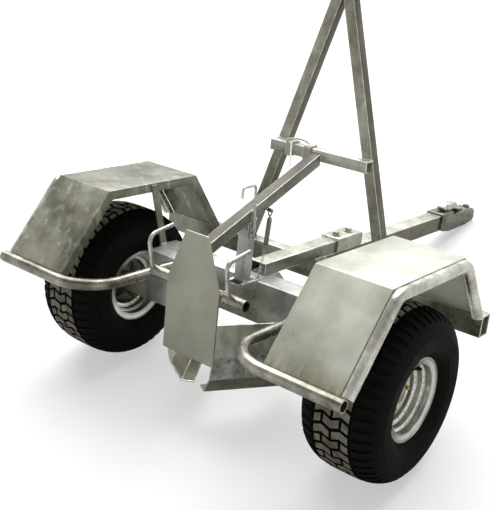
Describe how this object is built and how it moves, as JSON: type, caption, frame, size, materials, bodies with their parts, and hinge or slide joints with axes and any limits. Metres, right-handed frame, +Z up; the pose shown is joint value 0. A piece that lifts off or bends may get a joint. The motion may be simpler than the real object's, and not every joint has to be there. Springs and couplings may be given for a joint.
{
  "type": "boat trailer",
  "caption": "Two-wheeled galvanised dolly trailer with a lifting mast, folded rear scoop, fat turf tyres, folded mudguards and a ball-coupling drawbar.",
  "frame": {"origin": "middle of the footprint box, on the ground", "axes": "+X to the trailer's right along the axle, +Y forward from the scoop to the coupling, +Z up; stored as it parks, on its wheels and its coupling head"},
  "size_m": [1.256, 1.8719, 1.1839],
  "materials": {
    "coupling_steel": "bright zinc plating",
    "galvanised_steel": "matt hot-dip zinc with pale spangle",
    "guard_sheet": "matt hot-dip zinc on flat sheet",
    "handle_steel": "zinc plating",
    "hub_steel": "zinc-plated steel with yellowish nuts",
    "latch_steel": "zinc plating with wear",
    "plate_steel": "matt hot-dip zinc on folded plate",
    "rim_zinc": "satin zinc on pressed steel",
    "rod_steel": "zinc on round rod",
    "rope_fibre": "twisted synthetic cord",
    "tyre_rubber": "dry black rubber"
  },
  "bodies": {
    "frame": {"axle_beam": "galvanised_steel", "backbone": "galvanised_steel", "backbone_clamp": "galvanised_steel", "brace_post": "galvanised_steel", "coupling_body": "coupling_steel", "coupling_handle": "handle_steel", "crossbar_rope": "rope_fibre", "drawbar": "galvanised_steel", "drawbar_socket": "galvanised_steel", "front_cross_beam": "galvanised_steel", "latch_hook_rod": "latch_steel", "latch_spring": "latch_steel", "latch_strip": "latch_steel", "left_axle_bracket": "galvanised_steel", "left_bumper_tube": "galvanised_steel", "left_edge_bar": "guard_sheet", "left_guard_rail": "galvanised_steel", "left_guard_strut": "guard_sheet", "left_horn": "rod_steel", "left_mast_leg": "galvanised_steel", "left_mudguard": "guard_sheet", "left_scoop_wall": "plate_steel", "left_stub_axle": "galvanised_steel", "mast_brace": "galvanised_steel", "mast_crossbar": "galvanised_steel", "mast_head": "galvanised_steel", "rear_plate": "plate_steel", "rear_tube": "galvanised_steel", "right_axle_bracket": "galvanised_steel", "right_bumper_tube": "galvanised_steel", "right_edge_bar": "guard_sheet", "right_guard_rail": "galvanised_steel", "right_guard_strut": "guard_sheet", "right_horn": "rod_steel", "right_mast_leg": "galvanised_steel", "right_mudguard": "guard_sheet", "right_scoop_wall": "plate_steel", "right_stub_axle": "galvanised_steel"},
    "left_wheel": {"left_tyre": "tyre_rubber", "left_rim": "rim_zinc", "left_hub": "hub_steel"},
    "right_wheel": {"right_tyre": "tyre_rubber", "right_rim": "rim_zinc", "right_hub": "hub_steel"}
  },
  "joints": [
    {"name": "left_wheel_turn", "type": "hinge", "parent": "frame", "child": "left_wheel", "pos_m": [-0.507, -0.5777, 0.2445], "axis": [1, 0, 0], "continuous": true},
    {"name": "right_wheel_turn", "type": "hinge", "parent": "frame", "child": "right_wheel", "pos_m": [0.507, -0.5777, 0.2445], "axis": [1, 0, 0], "continuous": true}
  ]
}
